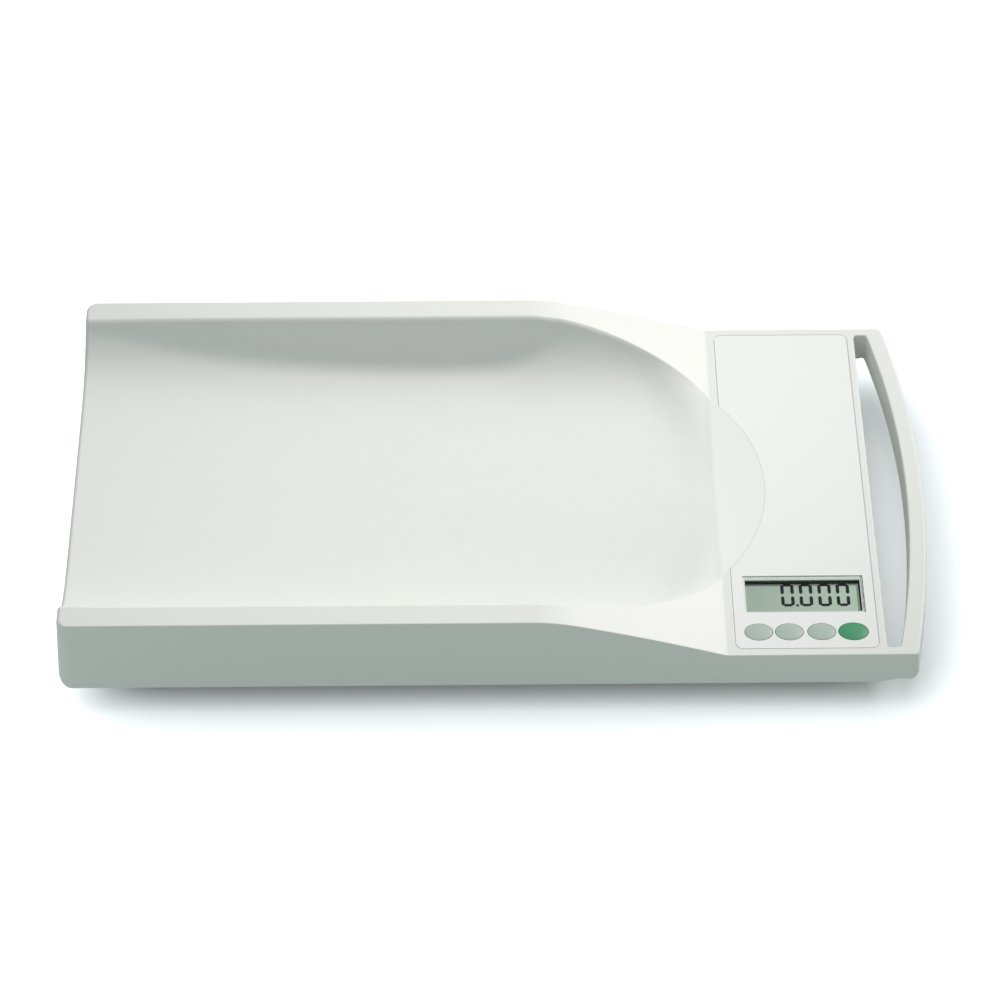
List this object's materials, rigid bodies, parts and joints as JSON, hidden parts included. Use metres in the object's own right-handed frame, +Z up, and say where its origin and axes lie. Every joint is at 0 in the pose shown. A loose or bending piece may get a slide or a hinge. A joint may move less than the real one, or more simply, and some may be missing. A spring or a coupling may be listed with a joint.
{
  "type": "digital baby weighing scale",
  "caption": "Tabletop infant scale: a long cradle tray open at one end, with a sloping shoulder, a flat console with display and keys, and a bowed carrying handle.",
  "frame": {"origin": "on the table, under the middle of the scale", "axes": "+X from the open end of the cradle to the handle, -Y the side with the keys, +Z up"},
  "size_m": [0.6039, 0.3252, 0.086],
  "materials": {
    "body_shell": "fine grained, satin",
    "base_plastic": "fine grained, satin",
    "overlay_plate": "smooth, satin",
    "window_clear": "clear, gloss",
    "lcd_glass": "grey green display glass",
    "lcd_black": "dark display segments",
    "key_green": "satin",
    "key_grey": "satin",
    "switch_plastic": "satin",
    "foam_black": "open-cell foam",
    "contact_rubber": "striped contact rubber",
    "board_green": "solder resist",
    "chip_black": "moulded epoxy",
    "nylon_white": "satin",
    "cell_steel": "stamped, nickel plated",
    "screw_steel": "zinc plated",
    "contact_nickel": "nickel plated",
    "bush_brass": "turned",
    "foot_plastic": "satin",
    "pad_rubber": "soft, matt",
    "gauge_film": "polyimide film",
    "lead_sheath": "soft PVC",
    "battery_can": "printed sleeve, plain"
  },
  "bodies": {
    "scale_body": {"battery_1": "battery_can", "battery_2": "battery_can", "battery_3": "battery_can", "battery_4": "battery_can", "battery_5": "battery_can", "battery_6": "battery_can", "battery_box": "base_plastic", "battery_contacts": "contact_nickel", "battery_leads": "lead_sheath", "board_chips": "chip_black", "board_connectors": "nylon_white", "board_screws": "screw_steel", "bottom_cover": "base_plastic", "cell_lead_back_left": "lead_sheath", "cell_lead_back_right": "lead_sheath", "cell_lead_front_left": "lead_sheath", "cell_lead_front_right": "lead_sheath", "cell_screws": "screw_steel", "display_gasket": "foam_black", "display_window": "window_clear", "foot_bush_back_left": "bush_brass", "foot_bush_back_right": "bush_brass", "foot_bush_front_left": "bush_brass", "foot_bush_front_right": "bush_brass", "hinge_pins": "screw_steel", "housing_screws": "screw_steel", "key_switches": "switch_plastic", "keypad_overlay": "overlay_plate", "lcd_holder": "switch_plastic", "lcd_panel": "lcd_glass", "lcd_segments": "lcd_black", "load_cell_back_left": "cell_steel", "load_cell_back_right": "cell_steel", "load_cell_front_left": "cell_steel", "load_cell_front_right": "cell_steel", "main_board": "board_green", "strain_gauges": "gauge_film", "top_cover": "body_shell", "zebra_strips": "contact_rubber"},
    "key_hold_body": {"key_hold": "key_grey", "plunger_hold": "switch_plastic"},
    "key_tare_body": {"key_tare": "key_grey", "plunger_tare": "switch_plastic"},
    "key_units_body": {"key_units": "key_grey", "plunger_units": "switch_plastic"},
    "key_start_body": {"key_start": "key_green", "plunger_start": "switch_plastic"},
    "foot_front_left": {"foot_screw_front_left": "foot_plastic", "foot_pad_front_left": "pad_rubber"},
    "foot_front_right": {"foot_screw_front_right": "foot_plastic", "foot_pad_front_right": "pad_rubber"},
    "foot_back_left": {"foot_screw_back_left": "foot_plastic", "foot_pad_back_left": "pad_rubber"},
    "foot_back_right": {"foot_screw_back_right": "foot_plastic", "foot_pad_back_right": "pad_rubber"},
    "door": {"battery_door": "base_plastic"}
  },
  "joints": [
    {"name": "press_hold", "type": "slide", "parent": "scale_body", "child": "key_hold_body", "axis": [0, 0, -1], "range_m": [0, 0.0006], "stiffness_N_per_m": 1500, "springref_m": -0.0003},
    {"name": "press_tare", "type": "slide", "parent": "scale_body", "child": "key_tare_body", "axis": [0, 0, -1], "range_m": [0, 0.0006], "stiffness_N_per_m": 1500, "springref_m": -0.0003},
    {"name": "press_units", "type": "slide", "parent": "scale_body", "child": "key_units_body", "axis": [0, 0, -1], "range_m": [0, 0.0006], "stiffness_N_per_m": 1500, "springref_m": -0.0003},
    {"name": "press_start", "type": "slide", "parent": "scale_body", "child": "key_start_body", "axis": [0, 0, -1], "range_m": [0, 0.0006], "stiffness_N_per_m": 1500, "springref_m": -0.0003},
    {"name": "level_front_left", "type": "slide", "parent": "scale_body", "child": "foot_front_left", "axis": [0, 0, -1], "range_m": [0, 0.006]},
    {"name": "level_front_right", "type": "slide", "parent": "scale_body", "child": "foot_front_right", "axis": [0, 0, -1], "range_m": [0, 0.006]},
    {"name": "level_back_left", "type": "slide", "parent": "scale_body", "child": "foot_back_left", "axis": [0, 0, -1], "range_m": [0, 0.006]},
    {"name": "level_back_right", "type": "slide", "parent": "scale_body", "child": "foot_back_right", "axis": [0, 0, -1], "range_m": [0, 0.006]},
    {"name": "door_hinge", "type": "hinge", "parent": "scale_body", "child": "door", "pos_m": [0.203, 0.0865, 0.01215], "axis": [1, 0, 0], "range_deg": [0, 100]}
  ]
}
